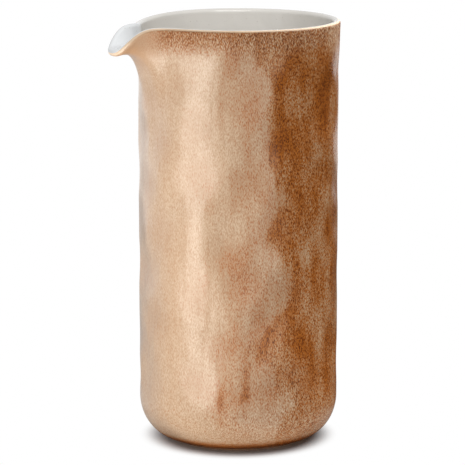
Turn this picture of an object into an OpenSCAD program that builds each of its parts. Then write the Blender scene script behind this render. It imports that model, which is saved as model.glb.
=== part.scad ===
// A tall stoneware jug with a pulled pouring lip and no handle.
// The fired clay wall carries a white coat inside, over its crown and along the lip, and a brown
// coat outside over a hammered surface of shallow dimples. It stands on a bare, ground foot ring.
// The jug's axis is the Z axis, the table is z = 0 and the lip points along -X.

/* [Body] */
// Outside diameter of the straight wall, over the glaze
body_d = 96; // [84:1:110]
// How far the top of the wall flares out to the rim
rim_flare = 0.75; // [0:0.05:2]
// Height from the table to the top of the rim
body_h = 203.9; // [170:0.1:240]
// Thickness of the fired clay wall
wall_t = 2.8; // [2:0.1:4]
// Thickness of the clay floor
floor_t = 4.5; // [3:0.5:7]
// Height at which the rounded heel meets the straight wall
heel_h = 20.7; // [14:0.1:26]
// Radius of the rounding inside, between floor and wall
inner_heel_r = 14; // [8:1:18]

/* [Foot] */
// Outside diameter of the foot ring
foot_d = 64; // [56:1:70]
// Width of the foot ring
foot_w = 4.5; // [3:0.5:8]
// How far the foot ring stands down from the body
foot_h = 1.8; // [1:0.1:3]
// Chamfer along the ring's lower edges
foot_edge = 0.4; // [0.2:0.1:0.8]
// Step from the ring's outside to the start of the heel
foot_step = 0.5; // [0.2:0.1:2]

/* [Lip] */
// How far the lip reaches out from the wall
lip_reach = 19.4; // [12:0.1:24]
// How far the channel of the lip dips below the rim
lip_dip = 9.9; // [5:0.1:14]
// Width of the lip, measured along the wall
lip_w = 19.8; // [16:0.1:30]
// Width of the soft swelling that leads into the lip on either side
swell_w = 34.6; // [26:0.1:50]
// Width of the channel's dip, measured along the wall
channel_w = 13.8; // [10:0.1:20]
// Height of the band of wall that the lip is drawn from
lip_h = 42.5; // [30:0.1:54]
// Height over which the throat still rises with the wall
throat_rise = 19.2; // [12:0.1:34]
// Length of the nearly level end of the lip
lip_run = 14; // [8:0.1:18]
// How much that end droops towards its tip
lip_droop = 3.6; // [0:0.1:5]
// How far the rim sags beside the lip, on its +Y side only
rim_sag = 1.3; // [0:0.1:2]
// Distance from the middle of the lip to the middle of that sag, measured along the wall
sag_at = 31; // [24:0.5:40]
// Width of the sag, measured along the wall
sag_w = 50; // [36:1:60]

/* [Glazes] */
// Thickness of each coat of glaze
glaze_t = 0.35; // [0.2:0.05:0.6]
// Height above the foot ring at which the outside coat ends
glaze_line = 0.6; // [0.3:0.1:4]
// Where the two coats meet on the crown, as an angle up from level outside
seam_a = 72; // [50:1:90]
// How much farther over the crown that seam lies at the tip of the lip, as an angle
seam_lift = 28; // [0:1:50]

/* [Hammering] */
// Depth of a dimple
dimple_depth = 0.7; // [0:0.05:1]
// Distance from one dimple to the next
dimple_pitch = 25; // [16:1:32]
// Diameter of a dimple
dimple_d = 30; // [18:1:36]
// Plain band between the rim and the highest dimples
plain_band = 12; // [6:1:30]
// Height over which the dimples fade out, below that band and above the heel
fade_h = 12; // [6:1:20]

/* [Hidden] */

clay_colour = [0.55, 0.36, 0.24];
bare_colour = [0.42, 0.27, 0.18];
liner_colour = [0.93, 0.93, 0.91];
brown_colour = [0.62, 0.41, 0.26];

// The wall is built on its centre surface, halfway through the clay
centre_r = body_d / 2 - glaze_t - wall_t / 2;
rim_z = body_h - glaze_t - wall_t / 2;
lip_z = rim_z - lip_h;
full_turn = 360;
half_turn = full_turn / 2;
right_angle = full_turn / 4;

// Heel of the clay, an ellipse between the straight wall and the underside
heel_foot_r = foot_d / 2 + foot_step;
heel_out = centre_r + wall_t / 2 - heel_foot_r;
heel_up = heel_h - foot_h;
heel_end_a = asin(1 - glaze_line / heel_up);

// Inside, the floor and the rounding up to the wall
floor_z = foot_h + floor_t;
inner_r = centre_r - wall_t / 2;

// Widths round the wall as angles
function round_wall(w) = w / centre_r * half_turn / PI;
channel_a = round_wall(channel_w / 2);
lip_a = round_wall(lip_w / 2);
swell_a = round_wall(swell_w / 2);
sag_middle_a = round_wall(sag_at);
sag_a = round_wall(sag_w / 2);

// How square the lip and its channel are across, from 2 for a bell to more for a U
lip_square = 2.55;
channel_square = 3.2;
soft_square = 2;

// Share of the lip's reach that the soft swelling has, and the power of the height it grows with
swell_share = 0.15;
swell_power = 3;

// How far round the wall the lip keeps the dimples off, in half widths of the lip
plain_spread = 2;

// Steps of the mesh: round the lip, the sides and the back, and up the jug
lip_cols = 9;
side_cols = 8;
back_cols = 8;
lip_spread = 2.1;
heel_rows = 6;
wall_rows = 20;
lip_rows = 10;
crown_rows = 4;
inner_heel_rows = 5;
inner_wall_rows = 3;
small_turn = 0.05;
small_share = 0.002;

// Angles of the columns round the axis, measured from the lip
dense_a = lip_spread * lip_a;
half_cols = concat(
    [for (i = [0:lip_cols]) dense_a * i / lip_cols],
    [for (i = [1:side_cols]) dense_a + (right_angle - dense_a) * i / side_cols],
    [for (i = [1:back_cols]) right_angle + right_angle * i / back_cols]
);
last_col = len(half_cols) - 1;
turns = concat([for (i = [last_col - 1:-1:1]) -half_cols[i]], half_cols);
cols = len(turns);

// A point at radius r and height z, turned by b from the lip
function around(r, b, z) = [r * cos(half_turn + b), r * sin(half_turn + b), z];
function unit(p) = p / norm(p);
function between(low, high, share) = low + (high - low) * share;
function bell(b, half_a, square) = exp(-pow(abs(b) / half_a, square));
function curve(p0, p1, p2, p3, t) =
    p0 * pow(1 - t, 3) + 3 * p1 * t * pow(1 - t, 2) + 3 * p2 * t * t * (1 - t) + p3 * pow(t, 3);
function wrapped(b) = b - full_turn * round(b / full_turn);

// Middle line of the lip: straight up the wall, then bent out to a nearly level end
function lip_line_r(v) = curve(0, 0, lip_reach - lip_run, lip_reach, v);
function lip_line_z(v) =
    curve(lip_z, lip_z + throat_rise, rim_z - lip_dip + lip_droop, rim_z - lip_dip, v);

// Centre surface of the wall. v runs from -1 at the heel through 0, where the lip starts,
// to 1 at the rim, and b is the angle from the lip
function centre_r_at(b, v) = v <= 0 ? centre_r : centre_r + rim_flare * v * v
    + lip_line_r(v) * (1 - swell_share) * bell(b, lip_a, lip_square)
    + lip_reach * swell_share * pow(v, swell_power) * bell(b, swell_a, soft_square);
function centre_z_at(b, v) = v <= 0 ? between(lip_z, heel_h, -v) :
    let (plain_z = between(lip_z, rim_z, v))
    plain_z + (lip_line_z(v) - plain_z) * bell(b, channel_a, channel_square)
    - rim_sag * v * v * bell(b + sag_middle_a, sag_a, soft_square);
function centre(b, v) = around(centre_r_at(b, v), b, centre_z_at(b, v));
function across(b, v) = centre(b + small_turn, v) - centre(b - small_turn, v);
function along(b, v) = centre(b, v + small_share) - centre(b, v - small_share);
function outward(b, v) = unit(cross(across(b, v), along(b, v)));
function wall_point(b, v, depth) = centre(b, v) + outward(b, v) * depth;

// Where the two coats meet, as an angle over the crown
function seam_at(b) = seam_a + seam_lift * bell(b, lip_a, soft_square);

// Crown of the rim: round, from level outside at 0 degrees over the top to level inside at 180
function crown_point(b, a, r) =
    let (n = outward(b, 1), up = unit(cross(n, across(b, 1))))
    centre(b, 1) + r * (cos(a) * n + sin(a) * up);

// Heel of the clay, with a coat of thickness d on it
function heel_point(b, a, d) =
    let (n = unit([heel_up * cos(a), heel_out * sin(a)]))
    around(heel_foot_r + heel_out * cos(a) + d * n[0], b, heel_h - heel_up * sin(a) - d * n[1]);

// Rounding inside, with a coat of thickness d on it
function inner_heel_point(b, a, d) =
    around(inner_r - inner_heel_r + (inner_heel_r - d) * cos(a), b,
           floor_z + inner_heel_r - (inner_heel_r - d) * sin(a));

// Dimples: staggered rows round the wall, each dimple moved, sized and sunk a little differently.
// The shares are fractions of the golden kind, which spread evenly and never repeat
dimple_top = rim_z - plain_band;
dimple_rows = max(1, round((dimple_top - heel_h) / dimple_pitch));
dimples_round = round(PI * body_d / dimple_pitch);
dimple_step_z = (dimple_top - heel_h) / dimple_rows;
dimple_step_a = full_turn / dimples_round;
turn_share = 0.7549;
height_share = 0.5698;
depth_share = 0.6180;
wander_share = 0.34;
shallow_share = 0.55;
function part_of(x) = x - floor(x);
function wander(k, share) = (part_of(k * share) - 1 / 2) * 2 * wander_share;
function dimple_turn(i, j, k) = (i + j % 2 / 2 + wander(k, turn_share)) * dimple_step_a;
function dimple_z(j, k) = heel_h + (j + 1 / 2 + wander(k, height_share)) * dimple_step_z;
function dimple_share(k) = between(shallow_share, 1, part_of(k * depth_share));
dimples = [for (j = [0:dimple_rows - 1], i = [0:dimples_round - 1]) let (k = j * dimples_round + i)
    [dimple_turn(i, j, k), dimple_z(j, k), dimple_share(k)]];
function bowl(d) = d >= 1 ? 0 : pow(1 - d * d, 2);
function ramp(x) = let (s = min(1, max(0, x))) s * s * (3 - 2 * s);
function sunk(b, z) = max([for (m = dimples)
    let (arc = wrapped(b - m[0]) / half_turn * PI * body_d / 2)
    m[2] * bowl(norm([arc, z - m[1]]) / (dimple_d / 2))]);
function relief(b, z) = dimple_depth * sunk(b, z) * ramp((z - heel_h) / fade_h)
    * ramp((dimple_top - z) / fade_h)
    * (1 - ramp((z - lip_z) / lip_h) * bell(b, plain_spread * lip_a, soft_square));

// Rows of the outside, from the heel up: heel angles, then heights, then shares of the way to the seam
heel_angles = [for (i = [heel_rows:-1:1]) heel_end_a * i / heel_rows];
wall_steps = concat([for (i = [0:wall_rows]) i / wall_rows - 1], [for (i = [1:lip_rows]) i / lip_rows]);
outer_crown = [for (i = [1:crown_rows]) i / crown_rows];
reliefs = [for (v = wall_steps) [for (b = turns) relief(b, centre_z_at(b, v))]];

function outside_rows(d) = concat(
    [for (a = heel_angles) [for (b = turns) heel_point(b, a, d)]],
    [for (i = [0:len(wall_steps) - 1]) [for (j = [0:cols - 1])
        wall_point(turns[j], wall_steps[i], wall_t / 2 + d - reliefs[i][j])]],
    [for (s = outer_crown) [for (b = turns) crown_point(b, s * seam_at(b), wall_t / 2 + d)]]
);

// Rows of the inside, from the floor up to just short of the seam
inner_heel_angles = [for (i = [inner_heel_rows:-1:0]) right_angle * i / inner_heel_rows];
inner_steps = concat(
    [for (i = [1:inner_wall_rows]) i / inner_wall_rows - 1],
    [for (i = [1:lip_rows]) i / lip_rows]
);
inner_crown = [for (i = [crown_rows - 1:-1:1]) i / crown_rows];

function inside_rows(d) = concat(
    [for (a = inner_heel_angles) [for (b = turns) inner_heel_point(b, a, d)]],
    [for (v = inner_steps) [for (b = turns) wall_point(b, v, -wall_t / 2 - d)]],
    [for (s = inner_crown) [for (b = turns)
        crown_point(b, between(seam_at(b), half_turn, s), wall_t / 2 + d)]]
);
function seam_row(d) = [for (b = turns) crown_point(b, seam_at(b), wall_t / 2 + d)];
underside_row = [for (b = turns) heel_point(b, right_angle, 0)];

// Faces between two rows, and from a row to a point on the axis
function turned(face) = [face[0], face[2], face[1]];
function strip(low, high, faces_out) = [for (j = [0:cols - 1])
    let (k = (j + 1) % cols, a = [low * cols + j, high * cols + k, low * cols + k],
         b = [low * cols + j, high * cols + j, high * cols + k])
    each faces_out ? [a, b] : [turned(a), turned(b)]];
function sheet(first, last, faces_out) = [for (i = [first:last - 1]) each strip(i, i + 1, faces_out)];
function disc(row, centre_index, faces_up) = [for (j = [0:cols - 1])
    let (k = (j + 1) % cols, a = [row * cols + j, row * cols + k, centre_index])
    faces_up ? turned(a) : a];
function joined(rows) = [for (row = rows) each row];

module clay_body() {
    outside = concat([underside_row], outside_rows(0));
    inside = inside_rows(0);
    rows = concat(outside, inside);
    last_out = len(outside) - 1;
    points = concat(joined(rows), [[0, 0, foot_h], [0, 0, floor_z]]);
    color(clay_colour) polyhedron(
        points = points,
        faces = concat(
            sheet(0, last_out, true),
            sheet(last_out + 1, len(rows) - 1, false),
            strip(len(rows) - 1, last_out, false),
            disc(0, len(rows) * cols, false),
            disc(last_out + 1, len(rows) * cols + 1, true)
        )
    );
}

module foot_ring() {
    color(bare_colour) rotate_extrude($fn = 96) translate([foot_d / 2 - foot_w, 0]) polygon([
        [foot_edge, 0],
        [foot_w - foot_edge, 0],
        [foot_w, foot_edge],
        [foot_w, foot_h],
        [0, foot_h],
        [0, foot_edge]
    ]);
}

module liner_glaze() {
    under = concat(inside_rows(0), [seam_row(0)]);
    over = concat(inside_rows(glaze_t), [seam_row(glaze_t)]);
    rows = concat(under, over);
    last_under = len(under) - 1;
    points = concat(joined(rows), [[0, 0, floor_z], [0, 0, floor_z + glaze_t]]);
    color(liner_colour) polyhedron(
        points = points,
        faces = concat(
            sheet(0, last_under, true),
            sheet(last_under + 1, len(rows) - 1, false),
            strip(last_under, len(rows) - 1, true),
            disc(0, len(rows) * cols, false),
            disc(last_under + 1, len(rows) * cols + 1, true)
        )
    );
}

module outer_glaze() {
    under = outside_rows(0);
    over = outside_rows(glaze_t);
    rows = concat(under, over);
    last_under = len(under) - 1;
    color(brown_colour) polyhedron(
        points = joined(rows),
        faces = concat(
            sheet(0, last_under, false),
            sheet(last_under + 1, len(rows) - 1, true),
            strip(0, last_under + 1, true),
            strip(last_under, len(rows) - 1, false)
        )
    );
}

clay_body();
foot_ring();
liner_glaze();
outer_glaze();
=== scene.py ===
import math

import bpy
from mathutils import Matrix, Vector


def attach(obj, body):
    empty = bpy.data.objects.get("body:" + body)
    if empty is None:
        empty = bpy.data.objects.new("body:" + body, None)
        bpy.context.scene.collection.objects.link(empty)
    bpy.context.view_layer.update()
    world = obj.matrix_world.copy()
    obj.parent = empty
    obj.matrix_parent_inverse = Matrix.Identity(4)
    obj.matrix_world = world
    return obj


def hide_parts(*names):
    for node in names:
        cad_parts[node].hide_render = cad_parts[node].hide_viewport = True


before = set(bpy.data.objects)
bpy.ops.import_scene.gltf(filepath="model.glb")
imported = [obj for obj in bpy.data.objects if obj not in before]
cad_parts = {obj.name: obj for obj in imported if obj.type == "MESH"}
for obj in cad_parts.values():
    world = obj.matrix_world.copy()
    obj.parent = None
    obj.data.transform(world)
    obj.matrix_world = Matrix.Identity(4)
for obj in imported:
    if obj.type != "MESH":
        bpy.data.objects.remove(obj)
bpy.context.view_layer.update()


# The clay wall: one piece of fired brown stoneware, turned round an upright axis, with its lip
# pulled by hand from the top of the wall and its outside hammered into soft dimples while it was
# leather-hard. Only its underside stays bare; the coats of glaze cover the rest.

# Metres: _d is a diameter, _r a radius, _h a height, _t a thickness and _z a level above the table;
# _a is an angle along the heel's or the crown's arc
body_d = 0.096
body_h = 0.2039
wall_t = 0.0028
floor_t = 0.0045
heel_h = 0.0207
inner_heel_r = 0.014
foot_d = 0.064
foot_h = 0.0018
foot_step = 0.0005
glaze_t = 0.00035
glaze_line = 0.0006
seam_a = math.radians(72)
clay_light, clay_dark = (0.27, 0.155, 0.085), (0.16, 0.082, 0.042)

centre_r = body_d / 2 - glaze_t - wall_t / 2
rim_z = body_h - glaze_t - wall_t / 2
inner_r, outer_r = centre_r - wall_t / 2, centre_r + wall_t / 2
floor_z = foot_h + floor_t
heel_foot_r = foot_d / 2 + foot_step
heel_out = outer_r - heel_foot_r
heel_up = heel_h - foot_h
heel_end_a = math.asin(1 - glaze_line / heel_up)

lip_and_dimples = {
    "Columns": 360,
    "Wall centre radius": centre_r,
    "Rim height": rim_z,
    "Rim flare": 0.00075,
    "Lip band": 0.0425,
    "Lip reach": 0.0194,
    "Lip run": 0.014,
    "Lip dip": 0.0099,
    "Lip droop": 0.0036,
    "Lip width": 0.0198,
    "Swell width": 0.0346,
    "Throat rise": 0.0192,
    "Channel width": 0.0138,
    "Rim sag": 0.0013,
    "Sag at": 0.031,
    "Sag width": 0.050,
    "Seam": seam_a,
    "Seam lift": math.radians(28),
    "Hammered from": heel_h,
    "Plain band": 0.012,
    "Fade height": 0.012,
    "Dimple depth": 0.0007,
    "Dimple pitch": 0.025,
    "Dimple width": 0.030,
    "Outside radius": body_d / 2,
}
lip_foot_z = rim_z - lip_and_dimples["Lip band"]
# How squarely the lip, its channel and the soft swells end to either side
lip_square, channel_square, soft_square = 2.55, 3.2, 2.0
# The share of the lip's reach that is a broad swell of the wall, and how late on its way up that is
swell_share, swell_power = 0.15, 3.0
# How many times as wide as the lip the place without dimples is
plain_spread = 2.0
# Columns of points stand evenly round the jug at 1, and are crowded at the lip at 0
even_columns = 0.5
# Small moves along the wall, from which its slope is taken
small_turn, small_share = 0.0009, 0.002
# The fractions of their multiples scatter the dimples' places and depths within the two limits
turn_share, height_share, depth_share = 0.7549, 0.5698, 0.6180
most_wander, shallowest = 0.34, 0.55
# Points closer than the first are one, and an edge that bends more than the second stays sharp
weld, sharp_bend = 2e-6, math.radians(50)


class Flow:
    """What comes out of a node's socket. With numbers, a rule of the pot reads as arithmetic."""

    def __init__(self, socket):
        self.socket, self.tree = socket, socket.id_data

    def step(self, operation, *others):
        """What this operation makes of the flow and the other numbers."""
        node = self.tree.nodes.new("ShaderNodeMath")
        node.operation = operation
        for value, socket in zip((self, *others), node.inputs):
            pour(value, socket)
        return Flow(node.outputs[0])

    def __add__(self, other): return self.step("ADD", other)
    def __radd__(self, other): return self.step("ADD", other)
    def __sub__(self, other): return self.step("SUBTRACT", other)
    def __rsub__(self, other): return (self * -1.0).step("ADD", other)
    def __mul__(self, other): return self.step("MULTIPLY", other)
    def __rmul__(self, other): return self.step("MULTIPLY", other)
    def __truediv__(self, other): return self.step("DIVIDE", other)
    def __pow__(self, other): return self.step("POWER", other)

    def along(self, low, high):
        """0 below low, 1 above high and a smooth rise between them."""
        return through(self.tree, "ShaderNodeMapRange",
                       {"Value": self, "From Min": low, "From Max": high},
                       interpolation_type="SMOOTHSTEP")


def pour(value, socket):
    """Leads a flow into a socket, or writes a plain value there."""
    if isinstance(value, Flow):
        value.tree.links.new(value.socket, socket)
    else:
        socket.default_value = value


def feed(node, inputs):
    """Pours each value into the node's input of that name or number."""
    for name, value in inputs.items():
        pour(value, node.inputs[name])


def through(tree, kind, inputs, output=0, **settings):
    """Leads these inputs through a new node with these settings, and gives what comes out."""
    node = tree.nodes.new(kind)
    for name, value in settings.items():
        setattr(node, name, value)
    feed(node, inputs)
    return Flow(node.outputs[output])


def vector_step(operation, *parts):
    """A step of vector arithmetic, such as CROSS_PRODUCT or SCALE, on its own node."""
    node = parts[0].tree.nodes.new("ShaderNodeVectorMath")
    node.operation = operation
    for part, socket in zip(parts, [s for s in node.inputs if s.enabled]):
        pour(part, socket)
    return Flow(node.outputs[0])


def xyz(point):
    """The three coordinates of a point."""
    node = point.tree.nodes.new("ShaderNodeSeparateXYZ")
    pour(point, node.inputs[0])
    return [Flow(socket) for socket in node.outputs]


def round_axis(turn, r, z):
    """The point this far from the axis and this high, at this turn from the middle of the lip."""
    return through(turn.tree, "ShaderNodeCombineXYZ", {
        "X": r * turn.step("COSINE") * -1.0, "Y": r * turn.step("SINE") * -1.0, "Z": z})


def bell(turn, half, square):
    """1 on the middle of the lip, falling off to either side; squarer with a higher power."""
    return ((turn.step("ABSOLUTE") / half) ** square * -1.0).step("EXPONENT")


def bent(p0, p1, p2, p3, share):
    """Cubic curve through p0 and p3, drawn towards p1 and p2."""
    rest = 1.0 - share
    return (p0 * rest ** 3.0 + 3.0 * p1 * share * rest ** 2.0
            + 3.0 * p2 * share ** 2.0 * rest + p3 * share ** 3.0)


def half_turn(size, width):
    """Half of a width along the wall, as an angle round the axis."""
    return size[width] / 2.0 / size["Wall centre radius"]


def wall_height(size, turn, share):
    """How high the middle of the wall is, this share of the way up from the lip's foot."""
    lip_foot = size["Rim height"] - size["Lip band"]
    lip_end = size["Rim height"] - size["Lip dip"]
    plain = lip_foot + size["Lip band"] * share
    lip_line = bent(lip_foot, lip_foot + size["Throat rise"], lip_end + size["Lip droop"],
                    lip_end, share)
    sag = size["Rim sag"] * share ** 2.0 * bell(turn + size["Sag at"] / size["Wall centre radius"],
                                                half_turn(size, "Sag width"), soft_square)
    in_channel = bell(turn, half_turn(size, "Channel width"), channel_square)
    return plain + (lip_line - plain) * in_channel - sag


def wall_centre(size, turn, share):
    """The middle of the wall: upright, then swelling out to the nearly level end of the lip."""
    out = bent(0.0, 0.0, size["Lip reach"] - size["Lip run"], size["Lip reach"], share)
    swell = size["Lip reach"] * swell_share * share ** swell_power
    r = (size["Wall centre radius"] + size["Rim flare"] * share ** 2.0
         + out * (1.0 - swell_share) * bell(turn, half_turn(size, "Lip width"), lip_square)
         + swell * bell(turn, half_turn(size, "Swell width"), soft_square))
    return round_axis(turn, r, wall_height(size, turn, share))


def noted(tree, name):
    """The number noted under this name at each point of the clay."""
    return through(tree, "GeometryNodeInputNamedAttribute", {"Name": name}, "Attribute",
                   data_type="FLOAT")


def note(sheet, name, value):
    """The same sheet of clay, with this number noted at each point."""
    return through(sheet.tree, "GeometryNodeStoreNamedAttribute",
                   {"Geometry": sheet, "Name": name, "Value": value})


def flat_sheet(size, profile):
    """A flat grid with a row for each point of the profile, and with each point's place noted."""
    tree = profile.tree
    rows = through(tree, "GeometryNodeAttributeDomainSize", {0: profile}, "Point Count")
    sheet = through(tree, "GeometryNodeMeshGrid",
                    {"Vertices X": size["Columns"] + 1.0, "Vertices Y": rows})
    index = through(tree, "GeometryNodeInputIndex", {})
    column = ((index + 0.5) / rows).step("FLOOR")

    def from_profile(value, kind="FLOAT"):
        return through(tree, "GeometryNodeSampleIndex",
                       {"Geometry": profile, "Value": value, "Index": index - column * rows},
                       data_type=kind)

    line_r, _, line_z = xyz(from_profile(through(tree, "GeometryNodeInputPosition", {}),
                                         "FLOAT_VECTOR"))
    across = column / size["Columns"] * 2.0 - 1.0
    turn = (across * even_columns + across ** 3.0 * (1.0 - even_columns)) * math.pi
    for name, value in (("turn", turn), ("line_r", line_r), ("rise", line_z),
                        ("hammered", from_profile(noted(tree, "hammered"))),
                        ("crown", from_profile(noted(tree, "crown")))):
        sheet = note(sheet, name, value)
    return sheet


def hammer(size, sheet, lip_foot):
    """Notes how far staggered rows of bowls sink each point, each bowl moved and sunk a little
    differently, and how far into the lip the point is."""
    tree = sheet.tree
    top = size["Rim height"] - size["Plain band"]
    bottom = size["Hammered from"]
    tiers = ((top - bottom) / size["Dimple pitch"]).step("ROUND").step("MAXIMUM", 1.0)
    round_count = (size["Outside radius"] * 2.0 * math.pi / size["Dimple pitch"]).step("ROUND")
    first = tree.nodes.new("GeometryNodeRepeatInput")
    last = tree.nodes.new("GeometryNodeRepeatOutput")
    first.pair_with_output(last)
    feed(first, {"Iterations": tiers * round_count, "Geometry": note(sheet, "sunk", 0.0)})
    blow = Flow(first.outputs["Iteration"])
    tier = ((blow + 0.5) / round_count).step("FLOOR")

    def wander(own_share):
        return ((blow * own_share).step("FRACT") - 0.5) * 2.0 * most_wander

    blow_turn = ((blow - tier * round_count + tier.step("MODULO", 2.0) / 2.0 + wander(turn_share))
                 * 2.0 * math.pi / round_count)
    blow_z = bottom + (tier + 0.5 + wander(height_share)) * (top - bottom) / tiers
    blow_depth = (blow * depth_share).step("FRACT") * (1.0 - shallowest) + shallowest
    turn, height, sunk = noted(tree, "turn"), noted(tree, "height"), noted(tree, "sunk")
    arc = (turn - blow_turn).step("WRAP", math.pi, -math.pi) * size["Outside radius"]
    far = (arc ** 2.0 + (height - blow_z) ** 2.0) / (size["Dimple width"] / 2.0) ** 2.0
    bowl = (1.0 - far).step("MAXIMUM", 0.0) ** 2.0
    struck = note(Flow(first.outputs["Geometry"]), "sunk", sunk.step("MAXIMUM", blow_depth * bowl))
    pour(struck, last.inputs["Geometry"])

    # The dimples fade out above the heel, below the rim and towards the lip
    in_lip = (height - lip_foot).along(0.0, size["Lip band"]) * bell(
        turn, half_turn(size, "Lip width") * plain_spread, soft_square)
    from_heel = (height - bottom).along(0.0, size["Fade height"])
    from_top = (top - height).along(0.0, size["Fade height"])
    sheet = note(Flow(last.outputs["Geometry"]), "sunk",
                 sunk * from_heel * from_top * (1.0 - in_lip))
    return note(sheet, "lip", in_lip)


def throwing_tree():
    """Turns a profile line round the axis, pulls the lip from its top and hammers its outside."""
    tree = bpy.data.node_groups.new("thrown_pulled_and_hammered", "GeometryNodeTree")
    interface = tree.interface
    interface.new_socket("Profile", in_out="INPUT", socket_type="NodeSocketGeometry")
    for name, value in lip_and_dimples.items():
        kind = "NodeSocketInt" if isinstance(value, int) else "NodeSocketFloat"
        interface.new_socket(name, in_out="INPUT", socket_type=kind).default_value = value
    interface.new_socket("Finish", in_out="INPUT", socket_type="NodeSocketMaterial")
    interface.new_socket("Wall", in_out="OUTPUT", socket_type="NodeSocketGeometry")
    size = {s.name: Flow(s) for s in tree.nodes.new("NodeGroupInput").outputs}

    sheet = flat_sheet(size, size["Profile"])
    turn, line_r, line_z = noted(tree, "turn"), noted(tree, "line_r"), noted(tree, "rise")
    rim, radius, band = size["Rim height"], size["Wall centre radius"], size["Lip band"]
    lip_foot = rim - band
    share = ((line_z - lip_foot) / band).step("MAXIMUM", 0.0).step("MINIMUM", 1.0)
    in_band = (line_z - lip_foot).step("GREATER_THAN", 0.0)
    height = line_z + (wall_height(size, turn, share) - line_z) * in_band
    sheet = hammer(size, note(sheet, "height", height.step("MINIMUM", rim)), lip_foot)

    # Below the lip's band a point keeps the profile's height, and its radius less the dimple
    depth = line_r - radius - noted(tree, "sunk") * size["Dimple depth"] * noted(tree, "hammered")
    plain = round_axis(turn, radius + depth, line_z)

    # In the band it goes off the middle of the wall, outward or over the rim, square to its slope
    sideways = vector_step("SUBTRACT", wall_centre(size, turn + small_turn, share),
                           wall_centre(size, turn - small_turn, share))
    upwards = vector_step("SUBTRACT", wall_centre(size, turn, share + small_share),
                          wall_centre(size, turn, share - small_share))
    outward = vector_step("NORMALIZE", vector_step("CROSS_PRODUCT", sideways, upwards))
    over = vector_step("NORMALIZE", vector_step("CROSS_PRODUCT", outward, sideways))
    lifted = (line_z - rim).step("MAXIMUM", 0.0)
    bead = (depth ** 2.0 + lifted ** 2.0) ** 0.5
    a = lifted.step("ARCTAN2", depth)
    # At the lip the seam lies farther out, so that the channel is white to its edge
    a = a + (size["Seam lift"] * bell(turn, half_turn(size, "Lip width"), soft_square)
             * (a / size["Seam"]).step("MINIMUM", (math.pi - a) / (math.pi - size["Seam"])))
    pulled = wall_centre(size, turn, share)
    for way, length in ((outward, bead * a.step("COSINE")), (over, bead * a.step("SINE"))):
        pulled = vector_step("ADD", pulled, vector_step("SCALE", way, length))

    chosen = through(tree, "GeometryNodeSwitch",
                     {"Switch": in_band, "False": plain, "True": pulled}, input_type="VECTOR")
    wall = through(tree, "GeometryNodeSetPosition", {"Geometry": sheet, "Position": chosen})
    wall = through(tree, "GeometryNodeMergeByDistance", {"Geometry": wall, "Distance": weld})
    wall = through(tree, "GeometryNodeSetShadeSmooth", {"Geometry": wall})
    bend = through(tree, "GeometryNodeInputMeshEdgeAngle", {}, "Unsigned Angle")
    wall = through(tree, "GeometryNodeSetShadeSmooth",
                   {"Geometry": wall, "Selection": bend.step("GREATER_THAN", sharp_bend),
                    "Shade Smooth": False}, domain="EDGE")
    wall = through(tree, "GeometryNodeRealizeInstances", {"Geometry": wall})
    wall = through(tree, "GeometryNodeSetMaterial", {"Geometry": wall, "Material": size["Finish"]})
    pour(wall, tree.nodes.new("NodeGroupOutput").inputs[0])
    return tree


throwing = throwing_tree()


def put_in(name, data):
    """A new object in the scene: a piece, a lamp or the camera."""
    made = bpy.data.objects.new(name, data)
    bpy.context.scene.collection.objects.link(made)
    return made


def throw(name, line, finish, columns):
    """A wall from a profile line of (radius, height, hammered, crown) points, as a plain mesh."""
    mesh = bpy.data.meshes.new(name + "_profile")
    mesh.from_pydata([(r, 0.0, z) for r, z, _, _ in line],
                     [(i, i + 1) for i in range(len(line) - 1)], [])
    for number, label in ((2, "hammered"), (3, "crown")):
        values = mesh.attributes.new(label, "FLOAT", "POINT").data
        values.foreach_set("value", [point[number] for point in line])
    blank = put_in(name + "_blank", mesh)
    wheel = blank.modifiers.new("wheel", "NODES")
    wheel.node_group = throwing
    sockets = {s.name: s.identifier for s in throwing.interface.items_tree}
    for label, value in (lip_and_dimples | {"Columns": columns, "Finish": finish}).items():
        wheel[sockets[label]] = value
    thrown = blank.evaluated_get(bpy.context.evaluated_depsgraph_get())
    piece = put_in(name, bpy.data.meshes.new_from_object(thrown))
    bpy.data.objects.remove(blank)
    bpy.data.meshes.remove(mesh)
    for label in ("turn", "line_r", "height", "hammered"):
        piece.data.attributes.remove(piece.data.attributes[label])
    return piece


def steps(low, high, count):
    """Evenly spaced values after low, up to and with high."""
    return [low + (high - low) * (i + 1) / count for i in range(count)]


def outside_line(coat, heel, wall, lip, crown):
    """Profile of the outside from the glaze line up to the seam, with a coat of this depth on it,
    and with this many rows of points in its heel, wall, lip and crown."""
    line = []
    for a in [heel_end_a] + steps(heel_end_a, 0.0, heel)[:-1]:
        off_r, off_z = heel_up * math.cos(a), heel_out * math.sin(a)
        off = math.hypot(off_r, off_z)
        line.append((heel_foot_r + heel_out * math.cos(a) + coat * off_r / off,
                     heel_h - heel_up * math.sin(a) - coat * off_z / off, 1.0, 0.0))
    for z in [heel_h] + steps(heel_h, lip_foot_z, wall) + steps(lip_foot_z, rim_z, lip):
        line.append((outer_r + coat, z, 1.0, 0.0))
    crown_r = wall_t / 2 + coat
    for a in steps(0.0, seam_a, crown):
        line.append((centre_r + crown_r * math.cos(a), rim_z + crown_r * math.sin(a), 0.0,
                     a / seam_a))
    return line


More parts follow.
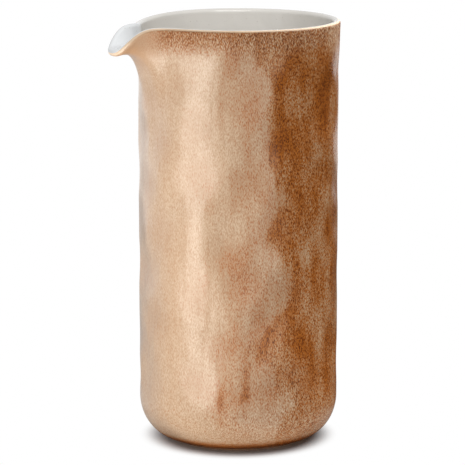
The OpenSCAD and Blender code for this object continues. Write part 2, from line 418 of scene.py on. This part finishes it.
def inside_line(coat, crown, lip, wall, heel):
    """Profile of the inside from the seam over the crown, down the wall and to the axis, with a
    coat of this depth on it, and with this many rows of points in its crown, lip, wall and heel."""
    crown_r = wall_t / 2 + coat
    line = [(centre_r + crown_r * math.cos(a), rim_z + crown_r * math.sin(a), 0.0, 1.0)
            for a in [seam_a] + steps(seam_a, math.pi, crown)[:-1]]
    heel_z = floor_z + inner_heel_r
    for z in [rim_z] + steps(rim_z, lip_foot_z, lip) + steps(lip_foot_z, heel_z, wall):
        line.append((inner_r - coat, z, 0.0, 0.0))
    bottom_r = inner_r - inner_heel_r
    for a in steps(0.0, math.pi / 2, heel):
        line.append((bottom_r + (inner_heel_r - coat) * math.cos(a),
                     heel_z - (inner_heel_r - coat) * math.sin(a), 0.0, 0.0))
    return line + [(bottom_r * share, floor_z + coat, 0.0, 0.0) for share in (0.66, 0.33, 0.0)]


def material(name):
    """A new node material, with its tree and its Principled shader."""
    made = bpy.data.materials.new(name)
    made.use_nodes = True
    return made, made.node_tree, made.node_tree.nodes["Principled BSDF"]


def on_object(tree):
    """Where each point lies on its piece."""
    return through(tree, "ShaderNodeTexCoord", {}, "Object")


def noise(tree, across, upright, detail=2.0, roughness=0.5):
    """Clouds from 0 to 1 about 0.5, this many to the metre across the piece and up it."""
    where = through(tree, "ShaderNodeMapping",
                    {"Vector": on_object(tree), "Scale": (across, across, upright)})
    return through(tree, "ShaderNodeTexNoise",
                   {"Vector": where, "Scale": 1.0, "Detail": detail, "Roughness": roughness})


def blended(share, low, high):
    """The colour between low and high at this share."""
    low, high = [part if isinstance(part, Flow) else (*part, 1.0) for part in (low, high)]
    return through(share.tree, "ShaderNodeMix", {0: share, 6: low, 7: high}, 2, data_type="RGBA")


def uneven(heights, lift):
    """The slope of a surface with these heights, times this lift in metres, on a smooth mesh."""
    return through(heights.tree, "ShaderNodeBump", {"Height": heights, "Distance": lift})


def bare_clay(name, light, dark, roughness):
    """Unglazed stoneware: matte, with a fine grog grain and iron flecks."""
    made, tree, shader = material(name)
    grain = noise(tree, 900.0, 900.0, detail=6.0, roughness=0.7)
    cloud = noise(tree, 60.0, 60.0)
    fleck = noise(tree, 2300.0, 2300.0, detail=1.0).along(0.66, 0.74)
    colour = blended(grain.along(0.3, 0.7) * 0.6 + cloud.along(0.3, 0.7) * 0.4, dark, light)
    feed(shader, {
        "Base Color": blended(fleck * 0.7, colour, [part * 0.35 for part in dark]),
        "Roughness": grain * 0.14 + (roughness - 0.07),
        "IOR": 1.45,
        "Normal": uneven(grain, 0.00006),
    })
    return made


underside_line = [(share * heel_foot_r, foot_h, 0.0, 0.0) for share in (0.0, 0.5, 1.0)]
clay_line = (underside_line + outside_line(0.0, heel=8, wall=34, lip=24, crown=5)
             + inside_line(0.0, crown=5, lip=24, wall=16, heel=8)[1:])
clay = throw("stoneware_body", clay_line,
             bare_clay("fired_clay", clay_light, clay_dark, roughness=0.85), columns=240)
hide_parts("clay_body")
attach(clay, "root")


# The foot: the ring of the same clay that the jug stands on, wiped clean of glaze and ground flat
# after firing, so it is darker and smoother than the underside. Its shape is its CAD solid's.
ground_light, ground_dark = (0.22, 0.115, 0.058), (0.11, 0.05, 0.024)
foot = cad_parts["foot_ring"]
foot.data.materials.clear()
foot.data.materials.append(bare_clay("ground_foot", ground_light, ground_dark, roughness=0.7))


# The white coat: a glossy tin-white glaze, poured round the inside, over the crown and out along
# the channel of the lip. It is a warm white in the jug, and a paler, cooler one in the lip's
# channel, painted lighter for the light that falls there.
warm_white, pale_white = (0.745, 0.715, 0.665), (0.795, 0.765, 0.715)
lip_white_painted_light = (0.80, 0.815, 0.825)
pinhole_grey = (0.42, 0.36, 0.30)


def kept(tree, name):
    """What the wheel noted at each point: how sunk it is, how far into the lip or up the crown."""
    return through(tree, "ShaderNodeAttribute", {}, "Fac", attribute_name=name)


def white_glaze():
    """Glossy white over soft waves, with a few pinholes."""
    made, tree, shader = material("white_liner_glaze")
    cloud = noise(tree, 45.0, 30.0, detail=3.0)
    wave = noise(tree, 120.0, 80.0)
    pinhole = noise(tree, 1500.0, 1500.0, detail=0.0).along(0.80, 0.84)
    colour = blended(cloud.along(0.3, 0.7), warm_white, pale_white)
    # Paler in the lip's channel: painted light
    colour = blended(kept(tree, "lip").along(0.1, 0.6), colour, lip_white_painted_light)
    feed(shader, {
        "Base Color": blended(pinhole * 0.5, colour, pinhole_grey),
        "Roughness": cloud.along(0.2, 0.8) * 0.06 + 0.10,
        "IOR": 1.52,
        "Normal": uneven(wave, 0.0004),
    })
    return made


liner_line = inside_line(glaze_t, crown=8, lip=66, wall=34, heel=14)
liner_line += inside_line(0.0, crown=4, lip=30, wall=14, heel=8)[::-1] + liner_line[:1]
liner = throw("white_liner", liner_line, white_glaze(), columns=360)
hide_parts("liner_glaze")
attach(liner, "root")


# The brown coat: an iron glaze, brushed upright over the hammered outside so that it lies in fine
# dark dashes and streaks, thin and creamy where it breaks over the crown, bare of speckle on the
# lip, and run together into a darker line above the foot, deepened by painted shade. A painted
# sheen pales the side towards the lamps, and painted shade darkens the far side.

# Colours by how much iron lies at a point and how much shade is painted there, from bare cream to
# nearly black
shades_by_iron_and_shade = (
    (-1.00, (0.58, 0.42, 0.28)),
    (-0.35, (0.42, 0.245, 0.130)),
    (-0.10, (0.39, 0.19, 0.082)),
    (0.10, (0.37, 0.118, 0.020)),
    (0.60, (0.25, 0.066, 0.008)),
    (1.10, (0.12, 0.028, 0.005)),
)
lip_tan = (0.50, 0.29, 0.16)
crown_cream = (0.76, 0.56, 0.38)
amber_gloss = (1.0, 0.85, 0.66, 1.0)
# A painted sheen pales the side towards the lamps and painted shade darkens the far side: which way
# across the jug the sheen thins and ends, and between where
painted_light_turn = math.radians(-29.5)
painted_sheen_thins, painted_sheen_ends = (-0.015, 0.001), (0.008, 0.018)
# Heights where the heel's grain and the foot's dark line (pooled glaze, painted shade) fade, and the
# rim's starts
heel_fades = (foot_h + 0.004, heel_h + 0.016)
foot_pool_and_shade_fades = (foot_h + 0.0008, foot_h + 0.0060)
rim_grain_starts = (rim_z - 0.014, rim_z - 0.002)


def brown_glaze():
    """Brushed satin brown, whose colour goes by how much iron covers each point, with painted sheen
    and painted shade.
    """
    made, tree, shader = material("brushed_brown_glaze")
    blotch = noise(tree, 110.0, 45.0)
    cloud = noise(tree, 38.0, 30.0, detail=1.0)
    dash = noise(tree, 2300.0, 800.0, detail=1.0)
    fleck = noise(tree, 3000.0, 1000.0, detail=0.0)
    streak = noise(tree, 420.0, 45.0)
    wave = noise(tree, 150.0, 90.0)
    dent = noise(tree, 38.0, 36.0, detail=0.0)
    lip, rise = kept(tree, "lip"), kept(tree, "rise")
    on_lip = lip.along(0.45, 1.0)
    at_heel = 1.0 - rise.along(*heel_fades)
    # A dark line above the foot: glaze pooled there, and painted shade where the heel faces the
    # table
    foot_pool_and_painted_shade = 1.0 - rise.along(*foot_pool_and_shade_fades)
    under_rim = rise.along(*rim_grain_starts) * (1.0 - lip.along(0.6, 0.95))

    # The painted sheen's border is upright and wanders
    x, y, _ = xyz(on_object(tree))
    across = x * math.cos(painted_light_turn) + y * math.sin(painted_light_turn)
    wander = (cloud - 0.5) * 0.09 + (blotch - 0.5) * 0.03
    past_painted_sheen = (across + wander).along(*painted_sheen_ends)
    toward_painted_shade = (across + wander * 0.4).along(*painted_sheen_thins) * 0.45 + past_painted_sheen * 0.55

    # Brush marks and patches, weaker under the painted sheen, and the patches weaker at the heel too
    speckle = (dash.along(0.42, 0.75) * 1.5 + fleck.along(0.42, 0.80) * 1.3 - 0.70
               + (streak - 0.5) * 0.8)
    patches = (((blotch - 0.5) * 1.7 + (cloud - 0.5)) * (toward_painted_shade * 0.9 + 0.14)
               * (1.0 - at_heel * 0.85))
    # Painted shade darkens the far side, and the painted sheen pales the side towards the lamps
    iron_and_painted_shade = (toward_painted_shade * 0.78 - 0.50 + (kept(tree, "sunk") - 0.4) * 0.2 + patches
             + speckle * (toward_painted_shade * 0.43 + 0.28))

    # Plain on the lip, grainy under the rim and at the heel, and dark above the foot with pooled
    # glaze and painted shade
    iron_and_painted_shade = iron_and_painted_shade * (1.0 - on_lip * 0.75) - on_lip * 0.25
    iron_and_painted_shade = iron_and_painted_shade + under_rim * (0.65 - toward_painted_shade * 0.74 + (fleck - 0.5) * (3.0 - toward_painted_shade * 0.9))
    iron_and_painted_shade = iron_and_painted_shade + at_heel * ((fleck - 0.5) * 1.1 - toward_painted_shade * 0.3) + foot_pool_and_painted_shade * 1.4

    colour = shades_by_iron_and_shade[0][1]
    for (start, _), (end, darker) in zip(shades_by_iron_and_shade, shades_by_iron_and_shade[1:]):
        colour = blended(iron_and_painted_shade.along(start, end), colour, darker)
    colour = blended(on_lip * 0.7, colour, lip_tan)
    on_crown = (kept(tree, "crown") + (fleck - 0.5) * 0.25).along(0.38, 0.66)
    relief = uneven(dent * 65.0 + wave * 5.0 + streak * 0.8 + dash * 0.3
                    + under_rim * dash * 5.0, 0.00008)
    feed(shader, {
        "Base Color": blended(on_crown, colour, crown_cream),
        "Roughness": 0.36 + (dash - 0.5) * 0.25 + under_rim * 0.3 - past_painted_sheen * 0.08,
        "IOR": 1.6,
        "Specular Tint": amber_gloss,
        "Normal": relief,
        "Coat Weight": 1.0 - (under_rim * 0.9).step("MAXIMUM", past_painted_sheen * 0.9),
        "Coat Roughness": 0.30,
        "Coat IOR": 1.55,
        "Coat Normal": relief,
    })
    return made


brown_line = outside_line(glaze_t, heel=18, wall=78, lip=66, crown=8)
brown_line += outside_line(0.0, heel=8, wall=34, lip=30, crown=4)[::-1] + brown_line[:1]
brown = throw("brown_outside", brown_line, brown_glaze(), columns=400)
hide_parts("outer_glaze")
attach(brown, "root")


# The room: white paper for the jug to stand on, in a white room lit by softboxes. The upright one
# on the left makes the long highlight. A black card on the right, which the camera doesn't see,
# keeps that side of the jug free of reflections. The camera looks down a little from above the rim.

# Turns are in degrees to the right of the camera, seen from above, and far is from the jug's axis
camera_turn = math.radians(-29.5)
camera_far, camera_high, camera_down = 1.248, 0.3451, 11.1
camera_lens, camera_shift = 203.5, -0.0123
room_fill = 0.4
paper_r, paper_corners = 0.7, 60
# The paper's white, and the dark it is painted in the glaze's reflection, as shade
paper_white, paper_painted_dark_in_glaze = (0.86, 0.86, 0.86), (0.05, 0.05, 0.05)
# How far from the axis the shadow fades to white, and the ring of painted glow in the mirrored paper
# starts and ends; then how far to the right the painted glow on its left ends, and how far to the
# front it grows
shadow_fades = (0.0355, 0.0495)
glow_ring_starts, glow_ring_ends = (0.036, 0.056), (0.060, 0.100)
left_glow_ends, left_glow_grows = (-0.03, 0.04), (-0.15, 0.05)
card_far, card_high = 0.17, 0.25
card_from_turn, card_bend, card_strips = 36, 100, 16


def round_the_jug(turn_from_camera, far, high):
    """A point at this turn to the right of the camera, seen from above, round the jug's axis."""
    a = camera_turn + math.radians(turn_from_camera)
    return Vector((math.sin(a) * far, -math.cos(a) * far, high))


def sheet_of(name, points, faces, finish):
    """A sheet of paper or card from these points and faces."""
    mesh = bpy.data.meshes.new(name)
    mesh.from_pydata(points, [], faces)
    mesh.materials.append(finish)
    return put_in(name, mesh)


def rays(tree, *kinds):
    """1 for rays of one of these kinds, and 0 for all others."""
    path = tree.nodes.new("ShaderNodeLightPath")
    found, *others = [Flow(path.outputs[f"Is {kind} Ray"]) for kind in kinds]
    for other in others:
        found = found.step("MAXIMUM", other)
    return found


def white_paper():
    """Matte paper that takes the jug's shadow, and is plain white to the camera away from it. In the
    glaze its reflection is painted dark, with a painted glow in a ring by the foot and over its left
    part."""
    made, tree, shader = material("white_paper")
    tree.nodes.remove(shader)
    eye, mirror = rays(tree, "Camera"), rays(tree, "Glossy", "Transmission")
    x, y, _ = xyz(on_object(tree))
    from_axis = (x ** 2.0 + y ** 2.0) ** 0.5
    to_right = x * math.cos(camera_turn) + y * math.sin(camera_turn)
    to_front = x * math.sin(camera_turn) - y * math.cos(camera_turn)
    # A painted glow seen only in the glaze's reflection: a ring by the foot, and the paper's left
    # part
    painted_ring_glow = from_axis.along(*glow_ring_starts) * (1.0 - from_axis.along(*glow_ring_ends)) * 0.35
    painted_left_glow = (from_axis.along(*glow_ring_ends) * (1.0 - to_right.along(*left_glow_ends)) * 0.7
                * (to_front.along(*left_glow_grows) * 0.35 + 0.65))
    matte = through(tree, "ShaderNodeBsdfDiffuse",
                    {"Color": blended(mirror, paper_white, paper_painted_dark_in_glaze)})
    white = through(tree, "ShaderNodeEmission", {})
    share = from_axis.along(*shadow_fades) * eye + (painted_ring_glow + painted_left_glow) * mirror
    pour(through(tree, "ShaderNodeMixShader", {0: share, 1: matte, 2: white}),
         tree.nodes["Material Output"].inputs["Surface"])
    return made


corner_turns = [2 * math.pi * i / paper_corners for i in range(paper_corners)]
floor = sheet_of("floor",
                 [(paper_r * math.cos(a), paper_r * math.sin(a), 0.0) for a in corner_turns],
                 [range(paper_corners)], white_paper())

black, _, card_shader = material("black_card")
feed(card_shader, {"Base Color": (0.01, 0.01, 0.01, 1.0), "Roughness": 0.9})
card = sheet_of("black_card",
                [round_the_jug(card_from_turn + card_bend * i / card_strips, card_far, high)
                 for i in range(card_strips + 1) for high in (0.0, card_high)],
                [(2 * i, 2 * i + 2, 2 * i + 3, 2 * i + 1) for i in range(card_strips)], black)
card.visible_camera = False


def group(name, members):
    """A collection that only serves to say what a lamp lights."""
    made = bpy.data.collections.new(name)
    for member in members:
        made.objects.link(member)
    return made


pieces = group("the_jug", [clay, foot, liner, brown])
outside = group("the_outside", [clay, foot, brown])
lining = group("the_lining", [liner])
ground = group("the_floor", [floor])


def softbox(name, turn, far, high, face, radiance, lights, aim_z=None):
    """An area lamp with a face this wide and high, turned to the jug's axis at the height aim_z,
    or else at its own. It lights this group alone, and only the jug throws a shadow."""
    lamp = bpy.data.lights.new(name, "AREA")
    lamp.shape = "RECTANGLE"
    lamp.size, lamp.size_y = face
    lamp.energy = radiance * face[0] * face[1] * math.pi
    holder = put_in(name, lamp)
    holder.location = round_the_jug(turn, far, high)
    aim = Vector((0.0, 0.0, high if aim_z is None else aim_z))
    holder.rotation_euler = (aim - holder.location).to_track_quat("-Z", "Y").to_euler()
    holder.visible_camera = False
    holder.light_linking.receiver_collection = lights
    holder.light_linking.blocker_collection = pieces


# Turn, distance, height, face and radiance: two on the left, one in front, one high on the right
# and one high behind, one into the jug, one for what the paper throws up, and the paper's own
softbox("upright_softbox", -39, 0.18, 0.085, (0.075, 0.26), 3.0, outside)
softbox("broad_softbox", -95, 0.26, 0.075, (0.46, 0.28), 0.3, outside)
softbox("front_softbox", 25, 0.30, 0.08, (0.16, 0.24), 0.4, outside)
softbox("high_softbox", 95, 0.70, 0.80, (0.60, 0.60), 6.5, outside, aim_z=0.1)
softbox("back_softbox", 150, 0.70, 0.80, (0.60, 0.60), 8.5, outside, aim_z=0.1)
softbox("inside_softbox", 10, 0.70, 0.80, (0.60, 0.60), 5.4, lining, aim_z=0.2)
softbox("low_softbox", 30, 0.35, -0.12, (0.50, 0.16), 2.6, pieces)
softbox("floor_light", 0, 0.20, 1.3, (0.8, 0.8), 8.0, ground, aim_z=0.0)

world = bpy.data.worlds.new("white_room")
bpy.context.scene.world = world
world.use_nodes = True
# White where it is seen, and dimmer as a light
seen = rays(world.node_tree, "Camera", "Glossy", "Transmission")
feed(world.node_tree.nodes["Background"],
     {"Color": (1.0, 1.0, 1.0, 1.0), "Strength": seen * (1.0 - room_fill) + room_fill})

camera = put_in("camera", bpy.data.cameras.new("camera"))
camera.location = round_the_jug(0, camera_far, camera_high)
camera.rotation_euler = (math.radians(90 - camera_down), 0.0, camera_turn)
camera.data.sensor_width = 36.0
camera.data.lens, camera.data.shift_x = camera_lens, camera_shift
bpy.context.scene.camera = camera
bpy.context.scene.view_settings.view_transform = "Standard"
